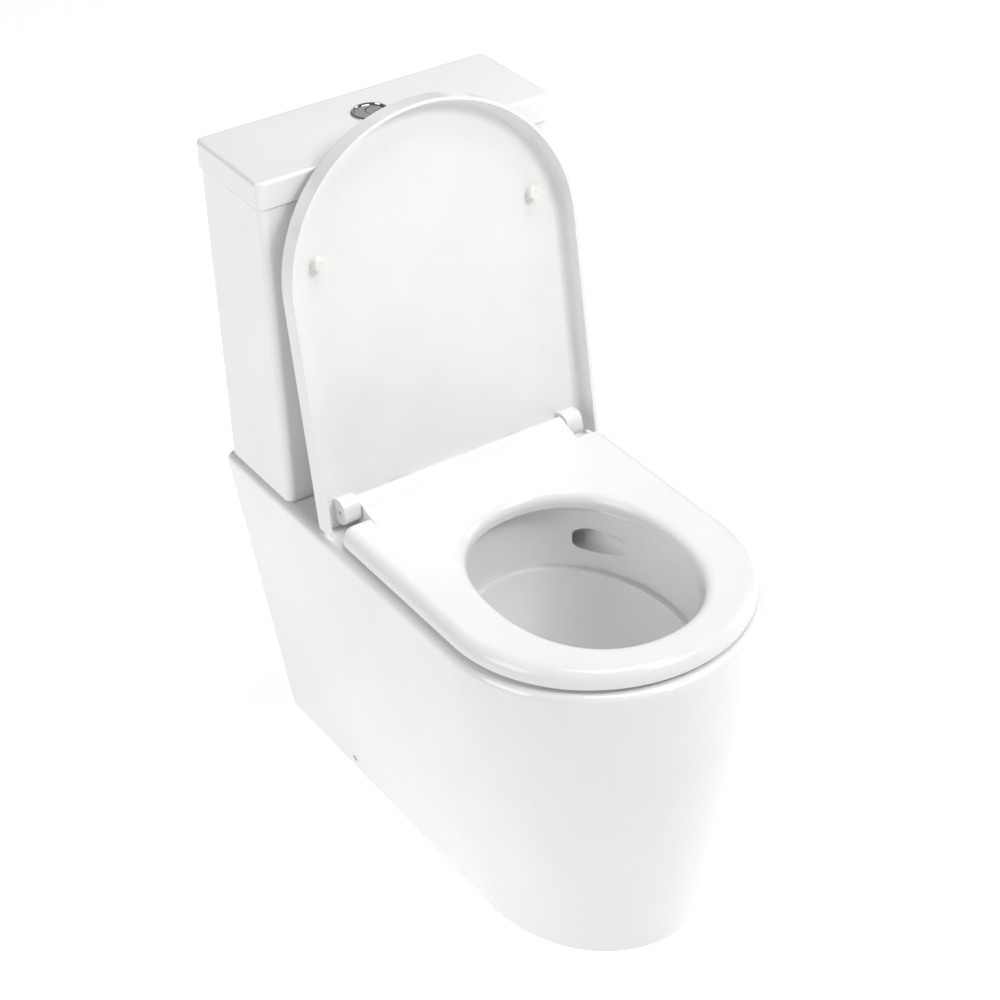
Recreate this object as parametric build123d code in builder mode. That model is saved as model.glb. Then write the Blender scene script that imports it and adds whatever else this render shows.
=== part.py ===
"""Close-coupled toilet: a fully shrouded pan, a slim cistern with a dual-flush button, and a soft-close seat.

The origin is on the floor under the middle of the toilet. +Z is up, -Y is the front, and the wall is at +Y.
The seat lid is modelled open, where it rests, and the seat is modelled down.
"""

import math
import os

from build123d import *

os.makedirs("parts", exist_ok=True)

# overall sizes, in millimetres
depth = 650.0
wall = depth / 2  # the plane of the wall behind the toilet
rim_height = 400.0
cistern_top = 800.0
lid_width = 369.0
lid_depth = 138.0

# pan
china = 14.0  # thickness of the pan's walls
deck = 16.0  # thickness of the deck and rim
rim_half_front = 181.0
rim_half_rear = 186.0
foot_half_front = 128.7
foot_half_rear = 129.0
front_bulge = 83.5
foot_set_back = 48.0  # how far the foot's nose stands back from the rim's
nose_power = 1.75  # how the nose comes forward with height
foot_round = wall - 445.0  # where the foot's straight sides meet its nose
rim_round = wall - 468.0  # the same at the rim, seat and seat lid
rim_radius = 10.0
bowl_half = 122.0
bowl_rear = 33.0
bowl_front = -wall + 53.0
band_depth = 84.0  # upright band of the bowl under the rim
ledge = 7.0
sump_z = 90.0  # the bowl's lowest point
sump_half = 28.0
bowl_power = 1.6
trap_bore = 40.0
spigot_radius = 51.0
spigot_height = 180.0
spigot_end = wall - 40.0

# cistern
tank_foot = rim_height + 1.5
lid_height = 31.0
tank_top = cistern_top - lid_height
tank_top_width = 364.0
tank_foot_width = 359.0
tank_top_depth = 135.5
tank_foot_depth = 136.0
tank_wall = 9.0
tank_floor = 12.5
corner = 10.0
flush_y = wall - 60.0  # the flush valve and the button above it
bolt_spacing = 132.0
inlet_x = -98.0  # the fill valve

# flush valve
tail_radius = 30.0
tail_bore = 25.0
gasket_radius = 45.0
seal_radius = 29.0
tube_radius = 9.0
lever_z = 655.0
rod_x = 12.0
lever_pivot_x = 24.0
lever_end_x = 44.0
lift_gap = 0.4

# button
bezel_radius = 21.5
button_radius = 18.0
small_button_radius = 10.5
small_button_x = 5.5

# seat and seat lid
seat_gap = 4.5
seat_thickness = 19.5
seat_edge = 14.0  # rounding of the seat's outer top edge
seat_half = 175.2
seat_front = -wall + 10.0
hole_half = 113.0
hole_rear = wall - 312.0
hole_front = -wall + 58.0
hinge_y = wall - 215.0
hinge_z = rim_height + 24.0
barrel_radius = 12.5
barrel_half = 137.3
knuckle_inner = 138.2
knuckle_outer = 159.0
pin_radius = 3.0
running = 0.05  # radial clearance of a running fit
lid_shell = 4.5
lid_lip = 3.8  # thickness of the skirt
lid_gap = 1.2  # between the seat's edge and the closed lid's skirt
barrel_gap = 0.6  # between the seat's barrel and the lid's panel
lid_back = 15.0  # from the hinge axis to the lid's outer face
skirt_depth = 26.0
lid_tail = 20.0  # how far the skirt runs past the hinge axis
lid_lean = 8.2  # how far past upright the open lid leans, in degrees
post_x = 77.5
seat_base = rim_height + seat_gap
seat_top = seat_base + seat_thickness

# floor fixing
fixing_y = wall - 156.0
fixing_z = 19.0
fixing_radius = 4.5


def disc(radius, z, height, x=0.0, y=0.0, hole=0.0):
    """A round plate or ring standing on height z."""
    with BuildPart() as made:
        with BuildSketch(Plane.XY.offset(z)):
            with Locations((x, y)):
                Circle(radius)
                if hole:
                    Circle(hole, mode=Mode.SUBTRACT)
        extrude(amount=height)
    return made.part


def rod_along_x(radius, x0, x1, y, z):
    """A round bar along X from x0 to x1."""
    with BuildPart() as made:
        with BuildSketch(Plane.YZ.offset(x0)):
            with Locations((y, z)):
                Circle(radius)
        extrude(amount=x1 - x0)
    return made.part


def block(x0, x1, y0, y1, z0, z1):
    """A plain block between two corners."""
    with BuildPart() as made:
        with BuildSketch(Plane.XY.offset(z0)):
            with Locations(((x0 + x1) / 2, (y0 + y1) / 2)):
                Rectangle(x1 - x0, y1 - y0)
        extrude(amount=z1 - z0)
    return made.part


def finish(made, name):
    """Labels a finished piece and writes it."""
    made.part.label = name
    export_step(made.part, f"parts/{name}.step")


# ---- pan ----


def share(z):
    return z / rim_height


def bulged(foot, rim, bulge, z):
    """A size that runs from foot to rim with a parabolic bulge between."""
    s = share(z)
    return foot + (rim - foot) * s + bulge * s * (1 - s)


def pan_face(z, inset=0.0, rear=wall):
    """The pan's outline at height z: side curves from the wall to a half-elliptical nose."""
    half_rear = bulged(foot_half_rear, rim_half_rear, 0.0, z) - inset
    half_front = bulged(foot_half_front, rim_half_front, front_bulge, z) - inset
    nose = -wall + foot_set_back * (1 - share(z)) ** nose_power + inset
    start = bulged(foot_round, rim_round, 0.0, z)
    third = (rear - start) / 3
    with BuildSketch() as outline:
        with BuildLine():
            Line((half_rear, rear), (-half_rear, rear))
            Bezier(
                (-half_rear, rear), (-half_rear, rear - third),
                (-half_front, start + third), (-half_front, start),
            )
            EllipticalCenterArc((0, start), half_front, start - nose, start_angle=180, arc_size=180)
            Bezier(
                (half_front, start), (half_front, start + third),
                (half_rear, rear - third), (half_rear, rear),
            )
        make_face()
    return outline.sketch


def oval(half, front, rear, fullness=0.5523):
    """An oval of four curves; a fullness of 0.5523 makes it an ellipse."""
    middle, reach = (front + rear) / 2, (rear - front) / 2
    with BuildSketch() as outline:
        with BuildLine():
            for sx, sy in ((1, 1), (-1, 1), (-1, -1), (1, -1)):
                side, end = (sx * half, middle), (0, middle + sy * reach)
                towards_end = (sx * half, middle + sy * reach * fullness)
                towards_side = (sx * half * fullness, middle + sy * reach)
                Bezier(side, towards_end, towards_side, end)
        make_face()
    return outline.sketch


band_z = rim_height - band_depth


def bowl_face(z, grow=0.0):
    """The bowl's outline below its ledge, drawing in and back towards the sump."""
    drop = (band_z - z) / (band_z - sump_z)
    half = bowl_half - ledge - (bowl_half - ledge - sump_half) * drop ** bowl_power
    front = bowl_front + ledge - (bowl_front + ledge + 54.0) * drop ** bowl_power
    rear = bowl_rear - ledge - 36.0 * drop
    return oval(half + grow, front - grow, rear + grow)


bowl_steps = [band_z - step * (band_z - sump_z) / 4 for step in range(5)]
trap_line = [
    (-30.0, 128.0),
    (48.0, 128.0),
    (114.0, 242.0),
    (182.0, 242.0),
    (218.0, spigot_height),
    (spigot_end, spigot_height),
]
trap_bend = 54.0
chamber_radius = 56.0
chamber_foot = 318.0
channel_z = 356.0
channel_line = [
    (18.0, flush_y - 30.0),
    (36.0, wall - 213.0),
    (86.0, wall - 317.0),
    (106.0, wall - 415.0),
]
channel_bend = 120.0
channel_width = 24.0
channel_height = 31.0
channel_wall = 9.0


def trapway(radius):
    """The waste passage, swept from the sump over the weir to the spigot."""
    with BuildPart() as made:
        with BuildLine() as path:
            FilletPolyline(*[(0, y, z) for y, z in trap_line], radius=trap_bend)
        with BuildSketch(Plane(origin=path.line @ 0, z_dir=path.line % 0)):
            Circle(radius)
        sweep()
    return made.part


def channel(width, height):
    """The flush passage, from the cistern's inlet to the mouth in the bowl's right side."""
    with BuildPart() as made:
        with BuildLine() as path:
            FilletPolyline(*[(x, y, channel_z) for x, y in channel_line], radius=channel_bend)
        with BuildSketch(Plane(origin=path.line @ 0, x_dir=(0, 0, 1), z_dir=path.line % 0)):
            RectangleRounded(height, width, width / 2 - 1)
        sweep()
    return made.part


with BuildPart() as pan:
    for step in range(5):
        with BuildSketch(Plane.XY.offset(step * rim_height / 4)):
            add(pan_face(step * rim_height / 4))
    loft()
    top_edges = pan.edges().group_by(Axis.Z)[-1]
    fillet(top_edges.filter_by(lambda e: abs(e.center().Y - wall) > 1), radius=rim_radius)
    # the hollow shroud, open at the floor and at the wall
    hollow_levels = [-1.0, rim_height / 4, rim_height / 2, 3 * rim_height / 4, rim_height - deck]
    for z in hollow_levels:
        with BuildSketch(Plane.XY.offset(z)):
            add(pan_face(z, inset=china, rear=wall + 1))
    loft(mode=Mode.SUBTRACT)
    # the bowl's outside
    with BuildSketch(Plane.XY.offset(band_z - china)):
        add(oval(bowl_half + china, bowl_front - china, bowl_rear + china))
    extrude(amount=band_depth + china - deck / 2)
    for z in bowl_steps:
        with BuildSketch(Plane.XY.offset(z - (china if z == bowl_steps[-1] else 0))):
            add(bowl_face(z, grow=china))
    loft()
    add(trapway(spigot_radius))
    add(disc(chamber_radius, chamber_foot, rim_height - deck / 2 - chamber_foot, y=flush_y))
    add(channel(channel_width + 2 * channel_wall, channel_height + 2 * channel_wall))
    # the passages
    with BuildSketch(Plane.XY.offset(band_z)):
        add(oval(bowl_half, bowl_front, bowl_rear))
    extrude(amount=band_depth + 1, mode=Mode.SUBTRACT)
    for z in bowl_steps:
        with BuildSketch(Plane.XY.offset(z)):
            add(bowl_face(z))
    loft(mode=Mode.SUBTRACT)
    add(trapway(trap_bore), mode=Mode.SUBTRACT)
    add(channel(channel_width, channel_height), mode=Mode.SUBTRACT)
    add(disc(tail_radius + 6, chamber_foot + 12, 100, y=flush_y), mode=Mode.SUBTRACT)
    add(disc(gasket_radius + 1, rim_height - 15, 30, y=flush_y), mode=Mode.SUBTRACT)
    # holes for the cistern bolts, the fill valve's tail and the seat
    with BuildSketch(Plane.XY.offset(rim_height - 30)):
        with Locations((-bolt_spacing / 2, flush_y), (bolt_spacing / 2, flush_y)):
            Circle(6.0)
        with Locations((inlet_x, flush_y)):
            Circle(21.0)
        with Locations((-post_x, hinge_y), (post_x, hinge_y)):
            Circle(7.5)
    extrude(amount=31, mode=Mode.SUBTRACT)
    add(rod_along_x(fixing_radius, -200, 200, fixing_y, fixing_z), mode=Mode.SUBTRACT)
    rim_edge = pan.edges().filter_by(lambda e: abs(e.center().Z - rim_height) < 0.01 and e.length > 600)
    fillet(rim_edge.filter_by(lambda e: e.center().Y < 0), radius=7.0)
finish(pan, "pan")

# ---- cistern ----


def tank_face(width, front_depth, inset=0.0):
    """The tank's outline against the wall, with rounded corners."""
    with BuildSketch() as outline:
        with Locations((0, wall - front_depth / 2)):
            RectangleRounded(width - 2 * inset, front_depth - 2 * inset, corner - inset / 2)
    return outline.sketch


with BuildPart() as cistern_tank:
    for inset, low, mode in ((0.0, tank_foot, Mode.ADD), (tank_wall, tank_foot + tank_floor, Mode.SUBTRACT)):
        with BuildSketch(Plane.XY.offset(low)):
            add(tank_face(tank_foot_width, tank_foot_depth, inset))
        with BuildSketch(Plane.XY.offset(tank_top)):
            add(tank_face(tank_top_width, tank_top_depth, inset))
        loft(mode=mode)
    with BuildSketch(Plane.XY.offset(tank_foot - 1)):
        with Locations((0, flush_y)):
            Circle(tail_radius + 1.5)
        with Locations((-bolt_spacing / 2, flush_y), (bolt_spacing / 2, flush_y)):
            Circle(5.5)
        with Locations((inlet_x, flush_y)):
            Circle(11.5)
    extrude(amount=tank_floor + 2, mode=Mode.SUBTRACT)
    tank_rim = cistern_tank.edges().group_by(Axis.Z)[-1].filter_by(
        lambda e: abs(e.center().X) > tank_top_width / 2 - 4 or e.center().Y < wall - tank_top_depth + 3
    )
    chamfer(tank_rim, length=3.0)
finish(cistern_tank, "cistern_tank")

with BuildPart() as cistern_lid:
    with BuildSketch(Plane.XY.offset(tank_top)):
        with Locations((0, wall - lid_depth / 2)):
            RectangleRounded(lid_width, lid_depth, corner - 1)
    extrude(amount=lid_height)
    fillet(cistern_lid.edges().group_by(Axis.Z)[-1], radius=4.5)
    chamfer(cistern_lid.edges().group_by(Axis.Z)[0], length=0.6)
    # the hollow underneath, over the tank's mouth
    with BuildSketch(Plane.XY.offset(tank_top - 1)):
        with Locations((0, wall - tank_top_depth / 2)):
            RectangleRounded(tank_top_width - 2 * tank_wall, tank_top_depth - 2 * tank_wall, corner / 2)
    extrude(amount=lid_height - 10 + 1, mode=Mode.SUBTRACT)
    # lugs that keep it from sliding off the tank
    lug_x = tank_top_width / 2 - tank_wall - 7
    lug_y = tank_top_depth / 2 - tank_wall - 20
    with BuildSketch(Plane.XY.offset(tank_top - 9)):
        with Locations((0, wall - tank_top_depth / 2)):
            with Locations(*[(sx * lug_x, sy * lug_y) for sx in (-1, 1) for sy in (-1, 1)]):
                Rectangle(8, 26)
    extrude(amount=lid_height - 10 + 9)
    add(disc(19.2, tank_top, lid_height + 1, y=flush_y), mode=Mode.SUBTRACT)
finish(cistern_lid, "cistern_lid")

# ---- dual-flush button ----

button_seat = cistern_top + 0.1
with BuildPart() as button_bezel:
    with BuildSketch(Plane(origin=(0, flush_y, button_seat), x_dir=(1, 0, 0), z_dir=(0, -1, 0))):
        with BuildLine():
            Polyline(
                (button_radius, -26), (button_radius + 0.9, -26), (button_radius + 0.9, 0),
                (bezel_radius, 0), (bezel_radius, 1.2), (bezel_radius - 1.4, 2.6),
                (button_radius + 0.6, 2.6), (button_radius, 1.4), close=True,
            )
        make_face()
    revolve(axis=Axis((0, flush_y, 0), (0, 0, 1)))
    # the floor that the buttons' springs stand on
    add(disc(button_radius + 0.2, button_seat - 26, 2.0, y=flush_y))
    for side in (-1, 1):
        add(disc(3.2, button_seat - 27, 4, x=side * rod_x, y=flush_y), mode=Mode.SUBTRACT)
finish(button_bezel, "button_bezel")

with BuildPart() as button_nut:
    with BuildSketch(Plane.XY.offset(cistern_top - 10 - 6.2)):
        with Locations((0, flush_y)):
            RegularPolygon(26, 8)
            Circle(button_radius + 0.95, mode=Mode.SUBTRACT)
    extrude(amount=6.0)
finish(button_nut, "button_nut")

button_top = button_seat + 1.2
button_height = 8.0
with BuildPart() as full_flush_button:
    add(disc(small_button_radius, button_top - button_height, button_height, x=small_button_x, y=flush_y))
    fillet(full_flush_button.edges().group_by(Axis.Z)[-1], radius=0.8)
finish(full_flush_button, "full_flush_button")

with BuildPart() as half_flush_button:
    add(disc(button_radius - 0.4, button_top - button_height, button_height, y=flush_y))
    add(
        disc(small_button_radius + 0.5, button_top - 20, 40, x=small_button_x, y=flush_y),
        mode=Mode.SUBTRACT,
    )
finish(half_flush_button, "half_flush_button")

rod_foot = lever_z + 2.5 + 0.5
rod_head = button_top - button_height
for name, side in (("full_push_rod", 1), ("half_push_rod", -1)):
    with BuildPart() as push_rod:
        add(disc(2.4, rod_foot, rod_head - rod_foot, x=side * rod_x, y=flush_y))
    finish(push_rod, name)

spring_foot = button_seat - 24.0
for name, side in (("full_button_spring", 1), ("half_button_spring", -1)):
    spring_height = rod_head - spring_foot - 0.8
    with BuildPart() as button_spring:
        with BuildLine() as coil:
            Helix(pitch=spring_height / 6, height=spring_height, radius=3.6,
                  center=(side * rod_x, flush_y, spring_foot + 0.4))
        with BuildSketch(Plane(origin=coil.line @ 0, z_dir=coil.line % 0)):
            Circle(0.35)
        sweep(is_frenet=True)
    finish(button_spring, name)

# ---- flush valve ----

valve_floor = tank_foot + tank_floor
seat_ring = valve_floor + 7.0
bridge_z = lever_z - 32.0
with BuildPart() as flush_valve_body:
    add(disc(tail_radius, rim_height - 22, valve_floor + 3 - rim_height + 22, y=flush_y, hole=tail_bore))
    add(disc(42, valve_floor + 3, 4, y=flush_y, hole=tail_bore))
    add(disc(38, seat_ring, 60, y=flush_y, hole=34))
    for side in (-1, 1):
        # windows that the water runs in through
        add(block(-60, 60, flush_y + side * 20 - 9, flush_y + side * 20 + 9, seat_ring + 4, seat_ring + 48),
            mode=Mode.SUBTRACT)
        add(block(side * 30 - 3, side * 30 + 3, flush_y - 8, flush_y + 8, seat_ring + 50, bridge_z + 5))
    add(block(-33, 33, flush_y - 8, flush_y + 8, bridge_z, bridge_z + 5))
    add(block(-36, 36, flush_y - 8, flush_y + 8, seat_ring + 52, seat_ring + 60))
    for side in (-1, 1):
        for edge in (-1, 1):
            ear = flush_y + edge * 6.5
            add(block(side * lever_pivot_x - 4, side * lever_pivot_x + 4, ear - 1.5, ear + 1.5,
                      bridge_z + 4, lever_z + 4))
    with BuildSketch(Plane.XY.offset(seat_ring + 40)):
        with Locations((0, flush_y)):
            Circle(tube_radius + 0.6)
    extrude(amount=lever_z, mode=Mode.SUBTRACT)
    with BuildSketch(Plane.XZ.offset(-flush_y - 20)):
        with Locations((-lever_pivot_x, lever_z), (lever_pivot_x, lever_z)):
            Circle(1.5)
    extrude(amount=40, mode=Mode.SUBTRACT)
finish(flush_valve_body, "flush_valve_body")

tube_top = bridge_z + 11
with BuildPart() as overflow_tube:
    add(disc(tube_radius, seat_ring + 3.5, tube_top - seat_ring - 3.5, y=flush_y))
    add(disc(seal_radius - 2, seat_ring + 3.5, 3, y=flush_y))
    # the lifting arm, with a hook over the full-flush lever's outer end
    add(block(0, lever_end_x + 5, flush_y - 3.5, flush_y + 3.5, tube_top - 4, tube_top))
    add(block(lever_end_x + 2, lever_end_x + 5, flush_y - 3.5, flush_y + 3.5, tube_top - 4, lever_z + 6))
    add(block(lever_end_x - 4, lever_end_x + 5, flush_y - 3.5, flush_y + 3.5,
              lever_z + 2.5 + lift_gap, lever_z + 6))
    add(disc(tube_radius - 2, seat_ring - 5, 400, y=flush_y), mode=Mode.SUBTRACT)
finish(overflow_tube, "overflow_tube")

with BuildPart() as flush_seal:
    add(disc(seal_radius, seat_ring, 3.5, y=flush_y, hole=tube_radius - 2))
finish(flush_seal, "flush_seal")

for name, side in (("full_flush_lever", 1), ("half_flush_lever", -1)):
    with BuildPart() as lever:
        ends = sorted((side * (rod_x - 3.5), side * lever_end_x))
        add(block(ends[0], ends[1], flush_y - 4, flush_y + 4, lever_z - 2.5, lever_z + 2.5))
        with BuildSketch(Plane.XZ.offset(-flush_y - 4)):
            with Locations((side * lever_pivot_x, lever_z)):
                Circle(3.4)
        extrude(amount=8)
        with BuildSketch(Plane.XZ.offset(-flush_y - 10)):
            with Locations((side * lever_pivot_x, lever_z)):
                Circle(1.5 + running)
        extrude(amount=20, mode=Mode.SUBTRACT)
    finish(lever, name)

with BuildPart() as lever_pins:
    with BuildSketch(Plane.XZ.offset(-flush_y - 8.5)):
        with Locations((-lever_pivot_x, lever_z), (lever_pivot_x, lever_z)):
            Circle(1.5)
    extrude(amount=17)
finish(lever_pins, "lever_pins")

float_foot = lever_z - 110.0
with BuildPart() as half_flush_float:
    left = -lever_end_x
    add(block(left - 12, left + 4, flush_y - 14, flush_y + 14, float_foot, float_foot + 45))
    add(block(left - 5, left - 2, flush_y - 3.5, flush_y + 3.5, float_foot + 40, lever_z + 6))
    add(block(left - 5, left + 4, flush_y - 3.5, flush_y + 3.5, lever_z + 2.5 + lift_gap, lever_z + 6))
finish(half_flush_float, "half_flush_float")

with BuildPart() as flush_valve_washer:
    add(disc(42, valve_floor, 3, y=flush_y, hole=tail_radius + running))
finish(flush_valve_washer, "flush_valve_washer")

with BuildPart() as flush_valve_nut:
    with BuildSketch(Plane.XY.offset(tank_foot - 11)):
        with Locations((0, flush_y)):
            RegularPolygon(37.5, 8)
            Circle(tail_radius + running, mode=Mode.SUBTRACT)
    extrude(amount=11)
finish(flush_valve_nut, "flush_valve_nut")

with BuildPart() as coupling_gasket:
    add(disc(gasket_radius, rim_height - 15, tank_foot - rim_height + 15, y=flush_y, hole=38.5))
finish(coupling_gasket, "coupling_gasket")

# ---- fill valve ----

shank_foot = rim_height - 50.0
shank_radius = 10.48
riser_top = 650.0
valve_head = 40.0
arm_z = riser_top + 22.0
arm_pivot_x = inlet_x - 20.0
arm_end_x = inlet_x - 58.0
cup_x = inlet_x - 22.0
nut_foot = tank_foot - 9.0
with BuildPart() as fill_valve_body:
    add(disc(shank_radius, shank_foot, valve_floor + 2.5 - shank_foot, x=inlet_x, y=flush_y))
    add(disc(18, valve_floor + 2.5, 3.5, x=inlet_x, y=flush_y))
    add(disc(9, valve_floor + 2.5, riser_top - valve_floor, x=inlet_x, y=flush_y))
    add(disc(17, riser_top, valve_head, x=inlet_x, y=flush_y))
    for edge in (-1, 1):
        ear = flush_y + edge * 6.0
        add(block(arm_pivot_x - 4, inlet_x - 10, ear - 1.5, ear + 1.5, arm_z - 4, arm_z + 4))
    with BuildSketch(Plane.XZ.offset(-flush_y - 20)):
        with Locations((arm_pivot_x, arm_z)):
            Circle(1.5)
    extrude(amount=40, mode=Mode.SUBTRACT)
    add(disc(5, shank_foot - 1, riser_top - shank_foot, x=inlet_x, y=flush_y), mode=Mode.SUBTRACT)
    add(block(inlet_x - 40, inlet_x - 17.2, flush_y - 4.4, flush_y + 4.4, arm_z - 10, arm_z + 10),
        mode=Mode.SUBTRACT)
    # the groove between the hose's thread and the nut's
    add(disc(shank_radius + 1, nut_foot - 4, 2.5, x=inlet_x, y=flush_y, hole=shank_radius - 0.8),
        mode=Mode.SUBTRACT)
finish(fill_valve_body, "fill_valve_body")

with BuildPart() as fill_valve_cap:
    add(disc(18, riser_top + valve_head, 9, x=inlet_x, y=flush_y))
    fillet(fill_valve_cap.edges().group_by(Axis.Z)[-1], radius=2)
finish(fill_valve_cap, "fill_valve_cap")

cup_foot = riser_top - 95.0
with BuildPart() as fill_valve_float:
    with BuildSketch(Plane.XY.offset(cup_foot)):
        with Locations((cup_x, flush_y)):
            RectangleRounded(76, 44, 8)
        with Locations((inlet_x, flush_y)):
            Circle(10, mode=Mode.SUBTRACT)
    extrude(amount=55)
    offset(amount=-1.8, openings=fill_valve_float.faces().sort_by(Axis.Z)[0])
finish(fill_valve_float, "fill_valve_float")

with BuildPart() as float_link:
    add(disc(1.8, cup_foot + 55, arm_z - 2.5 - 0.5 - cup_foot - 55, x=arm_end_x, y=flush_y))
finish(float_link, "float_link")

with BuildPart() as float_arm:
    add(block(arm_end_x - 4, arm_pivot_x, flush_y - 4, flush_y + 4, arm_z - 2.5, arm_z + 2.5))
    with BuildSketch(Plane.XZ.offset(-flush_y - 4)):
        with Locations((arm_pivot_x, arm_z)):
            Circle(2.6)
    extrude(amount=8)
    with BuildSketch(Plane.XZ.offset(-flush_y - 10)):
        with Locations((arm_pivot_x, arm_z)):
            Circle(1.5 + running)
    extrude(amount=20, mode=Mode.SUBTRACT)
finish(float_arm, "float_arm")

with BuildPart() as float_arm_pin:
    with BuildSketch(Plane.XZ.offset(-flush_y - 8)):
        with Locations((arm_pivot_x, arm_z)):
            Circle(1.5)
    extrude(amount=16)
finish(float_arm_pin, "float_arm_pin")

with BuildPart() as fill_valve_washer:
    add(disc(17, valve_floor, 2.5, x=inlet_x, y=flush_y, hole=shank_radius + running))
finish(fill_valve_washer, "fill_valve_washer")

with BuildPart() as fill_valve_nut:
    with BuildSketch(Plane.XY.offset(nut_foot)):
        with Locations((inlet_x, flush_y)):
            RegularPolygon(17, 6)
            Circle(shank_radius + running, mode=Mode.SUBTRACT)
    extrude(amount=9)
finish(fill_valve_nut, "fill_valve_nut")

# ---- cistern fixings ----

bolt_radius = 4.0
bolt_sides = [-bolt_spacing / 2, bolt_spacing / 2]
under_deck = rim_height - deck
with BuildPart() as cistern_bolts:
    for x in bolt_sides:
        add(disc(bolt_radius, under_deck - 24, valve_floor + 3 - under_deck + 24, x=x, y=flush_y))
        add(disc(9, valve_floor + 3, 5, x=x, y=flush_y))
finish(cistern_bolts, "cistern_bolts")

with BuildPart() as cistern_bolt_washers:
    for x in bolt_sides:
        add(disc(13, valve_floor, 3, x=x, y=flush_y, hole=bolt_radius + running))
finish(cistern_bolt_washers, "cistern_bolt_washers")

with BuildPart() as under_deck_washers:
    for x in bolt_sides:
        add(disc(9.5, under_deck - 3, 3, x=x, y=flush_y, hole=bolt_radius + running))
finish(under_deck_washers, "under_deck_washers")

with BuildPart() as wing_nuts:
    for x in bolt_sides:
        add(disc(8, under_deck - 15, 12, x=x, y=flush_y, hole=bolt_radius + running))
        for edge in (-1, 1):
            wing = sorted((flush_y + edge * 7.5, flush_y + edge * 17))
            add(block(x - 1.5, x + 1.5, wing[0], wing[1], under_deck - 18, under_deck - 4))
finish(wing_nuts, "wing_nuts")

with BuildPart() as cistern_pads:
    for x in (-tank_foot_width / 2 + 20, tank_foot_width / 2 - 20):
        for y in (wall - tank_foot_depth + 20, wall - 20):
            add(disc(7, rim_height, tank_foot - rim_height, x=x, y=y))
finish(cistern_pads, "cistern_pads")

# ---- seat ----


def d_face(half, front, rear, inset=0.0):
    """A D outline: a straight rear edge, straight sides and a half-elliptical front."""
    with BuildSketch() as outline:
        with BuildLine():
            side = half - inset
            Polyline((side, rim_round), (side, rear), (-side, rear), (-side, rim_round))
            EllipticalCenterArc(
                (0, rim_round), half - inset, rim_round - front - inset, start_angle=180, arc_size=180
            )
        make_face()
    return outline.sketch


seat_rear = hinge_y - 19.5
ramp_angle = math.radians(30.0)
ramp_length = 52.0
with BuildPart() as seat:
    with BuildSketch(Plane.XY.offset(seat_base)):
        add(d_face(seat_half, seat_front, seat_rear))
        fillet(vertices().filter_by(lambda v: v.Y > seat_rear - 1), radius=18.0)
        add(oval(hole_half, hole_front, hole_rear, fullness=0.61), mode=Mode.SUBTRACT)
    extrude(amount=seat_thickness)
    fillet(seat.faces().sort_by(Axis.Z)[-1].outer_wire().edges(), radius=seat_edge)
    fillet(seat.faces().filter_by(Axis.Z).sort_by(Axis.Z)[-1].inner_wires()[0].edges(), radius=12.0)
    fillet(seat.edges().group_by(Axis.Z)[0], radius=2.0)
    # the ramp up to the hinge barrel, between the lid's knuckles
    with BuildSketch(Plane.YZ.offset(-barrel_half)):
        with BuildLine():
            ramp_foot = (hinge_y - ramp_length, seat_top)
            rise, run = math.sin(ramp_angle), math.cos(ramp_angle)
            ramp_head = (hinge_y - barrel_radius * rise, hinge_z + barrel_radius * run)
            Polyline(
                ramp_head, (hinge_y, hinge_z), (hinge_y, seat_base + 1),
                (ramp_foot[0], seat_base + 1), ramp_foot,
            )
            Spline(ramp_foot, ramp_head, tangents=((1, 0), (run, rise)))
        make_face()
    extrude(amount=2 * barrel_half)
    add(rod_along_x(barrel_radius, -barrel_half, barrel_half, hinge_y, hinge_z))
    add(block(-200, 200, hinge_y - 2, hinge_y + 40, seat_base - 10, hinge_z - barrel_radius + 0.5),
        mode=Mode.SUBTRACT)
    # pockets for the hinge posts, the dampers and the pins
    for side in (-1, 1):
        near, far = sorted((side * (post_x - 11), side * (post_x + 11)))
        add(rod_along_x(9.8, near, far, hinge_y, hinge_z), mode=Mode.SUBTRACT)
        add(block(near, far, hinge_y - 9.8, hinge_y + 40, seat_base - 10, hinge_z), mode=Mode.SUBTRACT)
        add(block(near, far, hinge_y, hinge_y + 40, hinge_z - 1, hinge_z + 7.4), mode=Mode.SUBTRACT)
        near, far = sorted((side * (post_x + 14), side * (barrel_half - 5)))
        add(rod_along_x(8.6, near, far, hinge_y, hinge_z), mode=Mode.SUBTRACT)
        near, far = sorted((side * (post_x - 14), side * 200))
        add(rod_along_x(pin_radius + running, near, far, hinge_y, hinge_z), mode=Mode.SUBTRACT)
    # the lid's damper tail passes through the barrel's right end
    add(rod_along_x(5.4, barrel_half - 8, barrel_half + 1, hinge_y, hinge_z), mode=Mode.SUBTRACT)
finish(seat, "seat")

buffer_spots = [(side * 142.0, y) for side in (-1, 1) for y in (wall - 292.0, wall - 500.0)]
with BuildPart() as seat_buffers:
    with BuildSketch(Plane.XY.offset(rim_height)):
        with Locations(*buffer_spots):
            SlotOverall(26, 11, rotation=90)
    extrude(amount=seat_gap)
finish(seat_buffers, "seat_buffers")

with BuildPart() as seat_damper:
    add(rod_along_x(8.3, -barrel_half + 5.5, -post_x - 14.5, hinge_y, hinge_z))
    add(rod_along_x(pin_radius + running, -200, 0, hinge_y, hinge_z), mode=Mode.SUBTRACT)
finish(seat_damper, "seat_damper")

with BuildPart() as lid_damper:
    add(rod_along_x(8.3, post_x + 14.5, barrel_half - 5.5, hinge_y, hinge_z))
    add(rod_along_x(5.0, barrel_half - 6, knuckle_inner + 3, hinge_y, hinge_z))
    add(rod_along_x(pin_radius + running, 0, 200, hinge_y, hinge_z), mode=Mode.SUBTRACT)
finish(lid_damper, "lid_damper")

# ---- seat lid: drawn closed, then turned about the hinge to where it rests open ----

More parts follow.
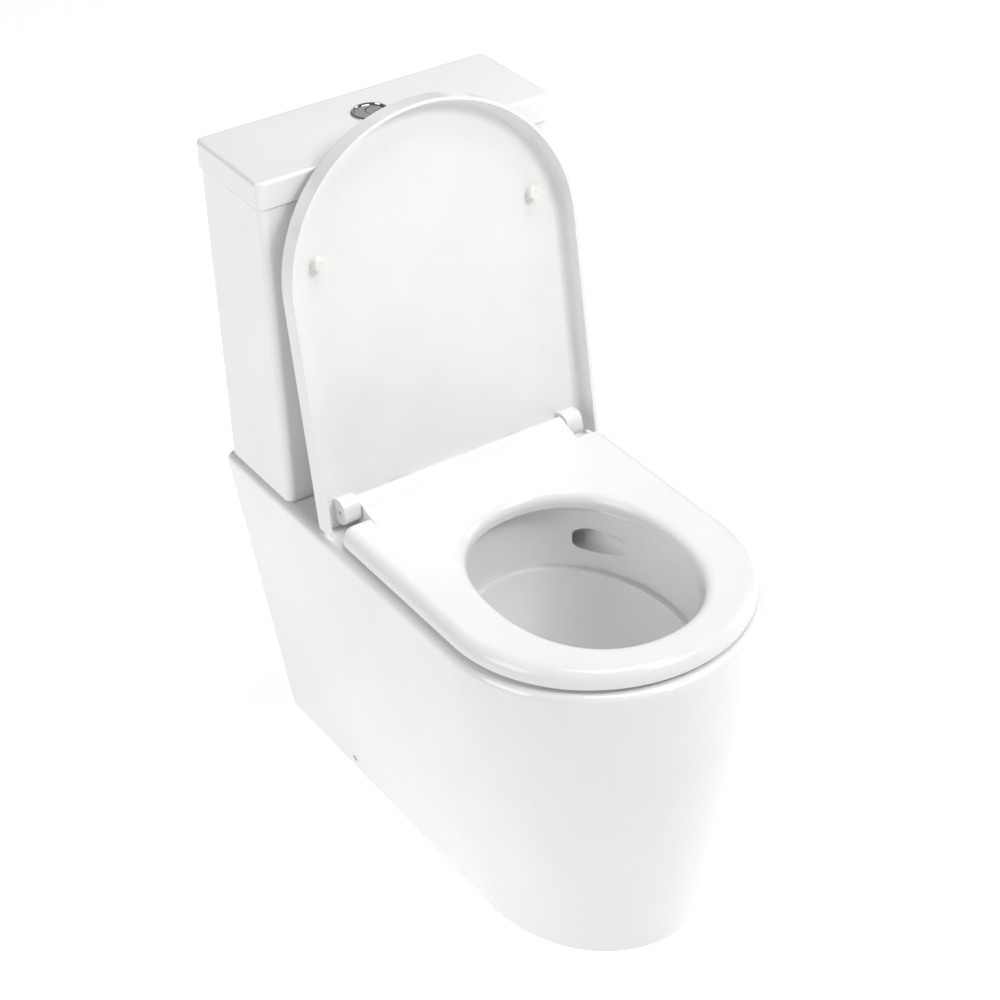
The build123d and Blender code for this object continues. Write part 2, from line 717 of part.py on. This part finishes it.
lid_half = seat_half + lid_gap + lid_lip
lid_front = seat_front - lid_gap - lid_lip
lid_rear = hinge_y + lid_tail
lid_face = hinge_z + lid_back
open_turn = 90.0 + lid_lean
with BuildPart() as closed_lid:
    with BuildSketch(Plane.XY.offset(lid_face - skirt_depth)):
        add(d_face(lid_half, lid_front, lid_rear))
        fillet(vertices().filter_by(lambda v: v.Y > lid_rear - 1), radius=6.0)
    extrude(amount=skirt_depth)
    fillet(closed_lid.edges().group_by(Axis.Z)[-1], radius=3.5)
    with BuildSketch(Plane.XY.offset(lid_face - skirt_depth - 1)):
        add(d_face(lid_half, lid_front, lid_rear + 20, inset=lid_lip))
    extrude(amount=skirt_depth + 1 - lid_shell, mode=Mode.SUBTRACT)
    inner_edges = closed_lid.edges().filter_by(
        lambda e: abs(e.center().Z - lid_face + lid_shell) < 0.01
        and e.length > 200
        and (abs(e.center().X) > 100 or e.center().Y < rim_round)
    )
    fillet(inner_edges, radius=9.0)
    # the panel ends close above the seat's barrel
    add(block(-barrel_half - 0.6, barrel_half + 0.6, hinge_y - 7.0, lid_rear + 30, hinge_z - 60, hinge_z + 60),
        mode=Mode.SUBTRACT)
    add(rod_along_x(barrel_radius + barrel_gap, -barrel_half - 0.6, barrel_half + 0.6, hinge_y, hinge_z),
        mode=Mode.SUBTRACT)
    for side in (-1, 1):
        near, far = sorted((side * knuckle_inner, side * knuckle_outer))
        with BuildSketch(Plane.YZ.offset(near)):
            with Locations((hinge_y - 1.0, hinge_z + 1.5)):
                RectangleRounded(30.0, 27.0, 11.0)
        extrude(amount=far - near)
        near, far = sorted((side * (knuckle_inner - 1), side * (knuckle_outer - 4)))
        add(rod_along_x(pin_radius + running, near, far, hinge_y, hinge_z), mode=Mode.SUBTRACT)
        near, far = sorted((side * (knuckle_inner - 1), side * (knuckle_outer + 1)))
        add(rod_along_x(2.2, near, far, hinge_y, hinge_z), mode=Mode.SUBTRACT)
    add(rod_along_x(5.05, knuckle_inner - 1, knuckle_inner + 3, hinge_y, hinge_z), mode=Mode.SUBTRACT)
buffer_x = 136.5
buffer_y = hinge_y - 286.0
buffer_height = lid_face - lid_shell - seat_top - 0.3
with BuildPart() as closed_lid_buffers:
    for x in (-buffer_x, buffer_x):
        add(disc(7.0, seat_top + 0.3, buffer_height, x=x, y=buffer_y))
    fillet(closed_lid_buffers.edges().group_by(Axis.Z)[0], radius=1.2)

hinge_line = Axis((0, hinge_y, hinge_z), (1, 0, 0))
with BuildPart() as seat_lid:
    add(closed_lid.part.rotate(hinge_line, -open_turn))
finish(seat_lid, "seat_lid")
with BuildPart() as seat_lid_buffers:
    add(closed_lid_buffers.part.rotate(hinge_line, -open_turn))
finish(seat_lid_buffers, "seat_lid_buffers")

# ---- hinge hardware ----

plate_height = 2.4
with BuildPart() as hinge_posts:
    for side in (-1, 1):
        x = side * post_x
        near, far = sorted((x - 8, x + 8))
        add(disc(15, rim_height, plate_height, x=x, y=hinge_y))
        add(block(near, far, hinge_y - 5, hinge_y + 5, rim_height, hinge_z))
        add(rod_along_x(9.0, near, far, hinge_y, hinge_z))
        add(rod_along_x(pin_radius, near - 1, far + 1, hinge_y, hinge_z), mode=Mode.SUBTRACT)
        add(disc(3.05, rim_height - 1, 13, x=x, y=hinge_y), mode=Mode.SUBTRACT)
finish(hinge_posts, "hinge_posts")

with BuildPart() as hinge_pins:
    for side in (-1, 1):
        near, far = sorted((side * (post_x - 9.5), side * (knuckle_outer - 5)))
        add(rod_along_x(pin_radius, near, far, hinge_y, hinge_z))
finish(hinge_pins, "hinge_pins")

with BuildPart() as seat_bolts:
    for side in (-1, 1):
        add(disc(3.0, rim_height - 46, 57, x=side * post_x, y=hinge_y))
finish(seat_bolts, "seat_bolts")

with BuildPart() as seat_bolt_sleeves:
    for side in (-1, 1):
        add(disc(7.3, rim_height - 30, 30, x=side * post_x, y=hinge_y, hole=3.05))
        add(disc(11, rim_height - deck - 8, 8, x=side * post_x, y=hinge_y, hole=3.05))
finish(seat_bolt_sleeves, "seat_bolt_sleeves")

with BuildPart() as seat_nuts:
    for side in (-1, 1):
        with BuildSketch(Plane.XY.offset(rim_height - 36)):
            with Locations((side * post_x, hinge_y)):
                RegularPolygon(6.2, 6)
                Circle(3.05, mode=Mode.SUBTRACT)
        extrude(amount=6)
finish(seat_nuts, "seat_nuts")

# ---- floor fixings ----

bracket_x = foot_half_rear - china - 1.0
with BuildPart() as floor_brackets:
    for side in (-1, 1):
        near, far = sorted((side * (bracket_x - 42), side * bracket_x))
        add(block(near, far, fixing_y - 18, fixing_y + 18, 0, 4))
        near, far = sorted((side * (bracket_x - 4), side * bracket_x))
        add(block(near, far, fixing_y - 18, fixing_y + 18, 0, 40))
        add(disc(3.5, -1, 6, x=side * (bracket_x - 26), y=fixing_y), mode=Mode.SUBTRACT)
    add(rod_along_x(2.2, -200, 200, fixing_y, fixing_z), mode=Mode.SUBTRACT)
finish(floor_brackets, "floor_brackets")
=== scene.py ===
import math

import bpy
from mathutils import Matrix, Vector

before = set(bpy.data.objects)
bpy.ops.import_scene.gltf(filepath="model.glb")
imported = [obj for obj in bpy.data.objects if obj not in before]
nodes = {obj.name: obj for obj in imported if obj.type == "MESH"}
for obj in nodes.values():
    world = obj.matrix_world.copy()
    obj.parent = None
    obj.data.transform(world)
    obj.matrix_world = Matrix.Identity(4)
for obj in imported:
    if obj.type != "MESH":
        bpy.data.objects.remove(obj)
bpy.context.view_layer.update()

# ---- viewpoint ----
# A long lens on a tripod in front and to the left, looking down on the open toilet.

aim = Vector((0.0276, 0.0750, 0.3855))
azimuth, elevation, roll = (math.radians(a) for a in (-32.82, 34.41, -1.88))
distance = 2.7195
lens = 86.695
toward_camera = Vector((
    math.sin(azimuth) * math.cos(elevation), -math.cos(azimuth) * math.cos(elevation), math.sin(elevation)
))
level_right = Vector((0, 0, 1)).cross(toward_camera).normalized()
level_up = toward_camera.cross(level_right)
right = math.cos(roll) * level_right + math.sin(roll) * level_up
up = toward_camera.cross(right)
camera_data = bpy.data.cameras.new("camera")
camera_data.sensor_width = 36.0  # millimetres, as the lens is
camera_data.lens = lens
camera = bpy.data.objects.new("camera", camera_data)
camera.matrix_world = Matrix.Translation(aim + toward_camera * distance) @ Matrix(
    (right, up, toward_camera)
).transposed().to_4x4()
bpy.context.collection.objects.link(camera)
bpy.context.scene.camera = camera
bpy.context.scene.view_settings.view_transform = "Standard"

# ---- studio sweep ----
# A seamless roll of white paper, lit so that it burns out to plain white and throws light back up.


def linear(hex_colour):
    """An sRGB hex colour as linear red, green, blue and alpha."""
    parts = [int(hex_colour[i:i + 2], 16) / 255 for i in (1, 3, 5)]
    return [p / 12.92 if p <= 0.04045 else ((p + 0.055) / 1.055) ** 2.4 for p in parts] + [1.0]


def add_node(tree, kind, settings=None, links=None):
    """Adds one node, sets its properties or socket values, and links its inputs to other outputs."""
    node = tree.nodes.new(kind)
    for name, value in (settings or {}).items():
        if hasattr(node, str(name)):
            setattr(node, name, value)
        else:
            node.inputs[name].default_value = value
    for name, (source, output) in (links or {}).items():
        tree.links.new(source.outputs[output], node.inputs[name])
    return node


def new_material(name, settings):
    """A material with one Principled shader, which holds the values that are the same all over."""
    material = bpy.data.materials.new(name)
    material.use_nodes = True
    tree = material.node_tree
    tree.nodes.clear()
    shader = add_node(tree, "ShaderNodeBsdfPrincipled", settings)
    add_node(tree, "ShaderNodeOutputMaterial", links={"Surface": (shader, "BSDF")})
    return material, tree, shader


paper = new_material("white_paper_roll", {
    "Base Color": linear("#a8a8a8"), "Roughness": 0.9, "Specular IOR Level": 0.1,
    "Emission Color": linear("#ffffff"), "Emission Strength": 0.83,
})[0]
reach = 30.0  # how far the paper runs from the toilet, each way
floor_mesh = bpy.data.meshes.new("floor")
corners = [(x, y, 0) for x, y in ((-reach, -reach), (reach, -reach), (reach, reach), (-reach, reach))]
floor_mesh.from_pydata(corners, [], [(0, 1, 2, 3)])
floor = bpy.data.objects.new("floor", floor_mesh)
floor.data.materials.append(paper)
bpy.context.collection.objects.link(floor)

# ---- studio lights ----
# Large soft boxes: a low one each side, one overhead, a strong one high in front, and a weak one behind
# that gives the button and the cistern lid something pale to reflect.


def soft_box(name, place, target, size, power):
    """A rectangular area light at a place, turned to face a target."""
    light = bpy.data.lights.new(name, "AREA")
    light.shape = "RECTANGLE"
    light.size, light.size_y = size
    light.energy = power
    lamp = bpy.data.objects.new(name, light)
    aim_line = Vector(target) - Vector(place)
    lamp.rotation_euler = aim_line.to_track_quat("-Z", "Y").to_euler()
    lamp.location = place
    bpy.context.collection.objects.link(lamp)


soft_box("left_box", (-2.6, -0.1, 1.5), (0, 0, 0.4), (1.4, 1.6), 20)
soft_box("right_box", (2.6, -0.5, 1.3), (0, 0, 0.3), (1.2, 1.8), 14)
soft_box("top_box", (0.4, -0.2, 2.8), (0, -0.1, 0.3), (1.0, 1.0), 22)
soft_box("front_box", (0.9, -1.6, 2.5), (0, 0.05, 0.5), (0.9, 0.7), 33)
soft_box("back_box", (1.2, 2.3, 2.2), (0, 0.2, 0.6), (1.6, 1.2), 2.2)
world = bpy.data.worlds.new("studio")
world.use_nodes = True
world.node_tree.nodes["Background"].inputs["Color"].default_value = linear("#ffffff")
world.node_tree.nodes["Background"].inputs["Strength"].default_value = 0.2
bpy.context.scene.world = world

# ---- pan ----
# The pan is vitreous china: slip cast in plaster, fired, sprayed with white glaze and fired again.
# It stands on the floor against the wall, and its skirt hides the trapway and the pipes.


def grain(tree, place, size_mm, detail=2.0, stretch=(1, 1, 1)):
    """Noise on the piece's own coordinates, in blotches about size_mm across, stretched along an axis."""
    mapping = add_node(tree, "ShaderNodeMapping", links={"Vector": (place, "Object")})
    mapping.inputs["Scale"].default_value = stretch
    return add_node(
        tree, "ShaderNodeTexNoise",
        {"Scale": 1000.0 / size_mm, "Detail": detail}, {"Vector": (mapping, "Vector")},
    )


def between(tree, source, low, high):
    """Turns a 0 to 1 value into one between low and high."""
    return add_node(
        tree, "ShaderNodeMapRange", {"From Min": 0.25, "From Max": 0.75, "To Min": low, "To Max": high},
        {"Value": (source, "Fac")},
    )


def blotches(tree, shader, source, dark, light):
    """Colours the shader between two close tints, following a noise."""
    ramp = add_node(tree, "ShaderNodeValToRGB", links={"Fac": (source, "Fac")})
    ramp.color_ramp.elements[0].position, ramp.color_ramp.elements[1].position = 0.3, 0.7
    ramp.color_ramp.elements[0].color, ramp.color_ramp.elements[1].color = linear(dark), linear(light)
    tree.links.new(ramp.outputs["Color"], shader.inputs["Base Color"])


def relief(tree, shader, layers):
    """Bumps laid one on another; each layer is a noise and its height in millimetres."""
    below = None
    for source, height_mm in layers:
        links = {"Height": (source, "Fac")}
        if below:
            links["Normal"] = (below, "Normal")
        below = add_node(tree, "ShaderNodeBump", {"Strength": 1.0, "Distance": height_mm / 1000.0}, links)
    tree.links.new(below.outputs["Normal"], shader.inputs["Normal"])


def glazed_china():
    """Vitreous china under a clear-coated white glaze: a wet gloss whose reflections waver, since the glaze
    flows and pools in slow ripples about 40 mm apart, over a fine orange peel."""
    material, tree, shader = new_material("glazed_vitreous_china", {
        "IOR": 1.52, "Coat Weight": 0.6, "Coat Roughness": 0.03, "Coat IOR": 1.5,
        "Subsurface Weight": 0.08, "Subsurface Radius": (0.004, 0.004, 0.004), "Subsurface Scale": 1.0,
    })
    place = add_node(tree, "ShaderNodeTexCoord")
    ripple = grain(tree, place, 42.0, detail=1.0)
    peel = grain(tree, place, 3.0, detail=2.0)
    cloud = grain(tree, place, 120.0, detail=3.0)
    blotches(tree, shader, cloud, "#f0f0ef", "#f4f4f3")
    gloss = between(tree, peel, 0.05, 0.10)
    tree.links.new(gloss.outputs["Result"], shader.inputs["Roughness"])
    relief(tree, shader, [(ripple, 0.16), (peel, 0.004)])
    return material


def coat(material, *names):
    """Gives CAD nodes one material in place of their plain one."""
    for name in names:
        mesh = nodes[name].data
        mesh.materials.clear()
        mesh.materials.append(material)


china = glazed_china()
coat(china, "pan")

# ---- cistern and its lid ----
# The slim cistern and its lift-off lid are cast and glazed like the pan, and bolt down onto its deck.

coat(china, "cistern_tank", "cistern_lid")

# ---- dual-flush button ----
# An ABS button, copper-nickel-chromium plated: mirror bright, with faint wiping marks.


def plated_chrome():
    """Chromium plate on moulded ABS: nearly a mirror, a little hazy where it has been wiped."""
    material, tree, shader = new_material("chromium_plate", {"Metallic": 1.0})
    place = add_node(tree, "ShaderNodeTexCoord")
    haze = grain(tree, place, 9.0, detail=4.0)
    wipes = grain(tree, place, 1.2, detail=3.0, stretch=(0.25, 1, 1))
    blotches(tree, shader, haze, "#b9bbbe", "#c4c6c9")
    gloss = between(tree, wipes, 0.05, 0.14)
    tree.links.new(gloss.outputs["Result"], shader.inputs["Roughness"])
    relief(tree, shader, [(haze, 0.004)])
    return material


coat(plated_chrome(), "button_bezel", "full_flush_button", "half_flush_button")

# ---- seat and seat lid ----
# Both are pressed in white urea duroplast in a polished steel tool, which gives a dense, hard gloss.


def pressed_duroplast():
    """Urea duroplast: whiter and a touch softer in its gloss than china, with a long, shallow waviness
    from shrinking in the press and a fine polish."""
    material, tree, shader = new_material("pressed_urea_duroplast", {
        "IOR": 1.55,
        "Subsurface Weight": 0.05, "Subsurface Radius": (0.003, 0.003, 0.003), "Subsurface Scale": 1.0,
    })
    place = add_node(tree, "ShaderNodeTexCoord")
    wave = grain(tree, place, 90.0, detail=1.0)
    polish = grain(tree, place, 1.6, detail=3.0)
    cloud = grain(tree, place, 60.0, detail=4.0)
    blotches(tree, shader, cloud, "#eeeeed", "#f1f1f0")
    gloss = between(tree, polish, 0.10, 0.16)
    tree.links.new(gloss.outputs["Result"], shader.inputs["Roughness"])
    relief(tree, shader, [(wave, 0.12), (polish, 0.002)])
    return material


coat(pressed_duroplast(), "seat", "seat_lid")

# ---- buffers and pads ----
# Soft white elastomer buffers plug into the seat and its lid, and clear-white pads carry the cistern.


def soft_elastomer():
    """Thermoplastic elastomer: satin, slightly see-through at the edges, with a fine moulded grain."""
    material, tree, shader = new_material("white_elastomer", {
        "IOR": 1.45,
        "Subsurface Weight": 0.35, "Subsurface Radius": (0.002, 0.002, 0.002), "Subsurface Scale": 1.0,
    })
    place = add_node(tree, "ShaderNodeTexCoord")
    skin = grain(tree, place, 1.0, detail=3.0)
    blotches(tree, shader, grain(tree, place, 8.0), "#ebebe8", "#f1f1ee")
    gloss = between(tree, skin, 0.38, 0.52)
    tree.links.new(gloss.outputs["Result"], shader.inputs["Roughness"])
    relief(tree, shader, [(skin, 0.02)])
    return material


coat(soft_elastomer(), "seat_buffers", "seat_lid_buffers", "cistern_pads")

# ---- white valve and hinge mouldings ----
# The valve bodies, rods, arms and hinge posts are injection moulded in white acetal and ABS.


def moulded_plastic(name, dark, light):
    """Injection-moulded plastic: a satin skin with a fine spark-eroded grain and faint flow marks."""
    material, tree, shader = new_material(name, {"IOR": 1.48})
    place = add_node(tree, "ShaderNodeTexCoord")
    skin = grain(tree, place, 0.8, detail=4.0)
    flow = grain(tree, place, 14.0, detail=3.0, stretch=(1, 1, 0.3))
    blotches(tree, shader, flow, dark, light)
    gloss = between(tree, flow, 0.32, 0.48)
    tree.links.new(gloss.outputs["Result"], shader.inputs["Roughness"])
    relief(tree, shader, [(skin, 0.02), (flow, 0.02)])
    return material


coat(
    moulded_plastic("white_acetal", "#dfdfdb", "#e8e8e5"),
    "button_nut", "full_push_rod", "half_push_rod",
    "flush_valve_body", "flush_valve_nut", "half_flush_float",
    "fill_valve_body", "fill_valve_nut", "float_arm", "float_link", "lever_pins", "float_arm_pin",
    "wing_nuts", "hinge_posts", "seat_damper", "lid_damper",
)

# ---- grey valve mouldings and floor brackets ----
# The overflow tube, levers, float, cap, seat nuts and the floor brackets are moulded in grey polypropylene.

coat(
    moulded_plastic("grey_polypropylene", "#9499a0", "#a1a6ad"),
    "overflow_tube", "fill_valve_cap", "fill_valve_float", "full_flush_lever", "half_flush_lever",
    "floor_brackets", "seat_nuts",
)

# ---- seals and washers ----
# Black EPDM rubber seals the valves, the cistern and the seat's bolts.


def black_rubber():
    """EPDM rubber: matt black with a dusty bloom and a coarse moulded skin."""
    material, tree, shader = new_material("black_epdm_rubber", {"IOR": 1.5})
    place = add_node(tree, "ShaderNodeTexCoord")
    skin = grain(tree, place, 0.9, detail=4.0)
    bloom = grain(tree, place, 7.0, detail=4.0)
    blotches(tree, shader, bloom, "#17171a", "#26262a")
    gloss = between(tree, bloom, 0.58, 0.78)
    tree.links.new(gloss.outputs["Result"], shader.inputs["Roughness"])
    relief(tree, shader, [(skin, 0.05)])
    return material


coat(
    black_rubber(),
    "coupling_gasket", "flush_seal", "flush_valve_washer", "fill_valve_washer", "cistern_bolt_washers",
    "under_deck_washers", "seat_bolt_sleeves",
)

# ---- bolts, pins and springs ----
# Stainless steel bolts, hinge pins and springs, drawn and lightly polished along their length.


def drawn_steel():
    """Drawn stainless steel: bright, with fine lines along the bar that blur its reflections."""
    material, tree, shader = new_material("drawn_stainless_steel", {"Metallic": 1.0})
    place = add_node(tree, "ShaderNodeTexCoord")
    lines = grain(tree, place, 0.8, detail=3.0, stretch=(1, 1, 0.06))
    blotches(tree, shader, lines, "#a9aaab", "#bcbdbe")
    gloss = between(tree, lines, 0.22, 0.38)
    tree.links.new(gloss.outputs["Result"], shader.inputs["Roughness"])
    relief(tree, shader, [(lines, 0.01)])
    return material


coat(
    drawn_steel(),
    "cistern_bolts", "hinge_pins", "seat_bolts", "full_button_spring", "half_button_spring",
)
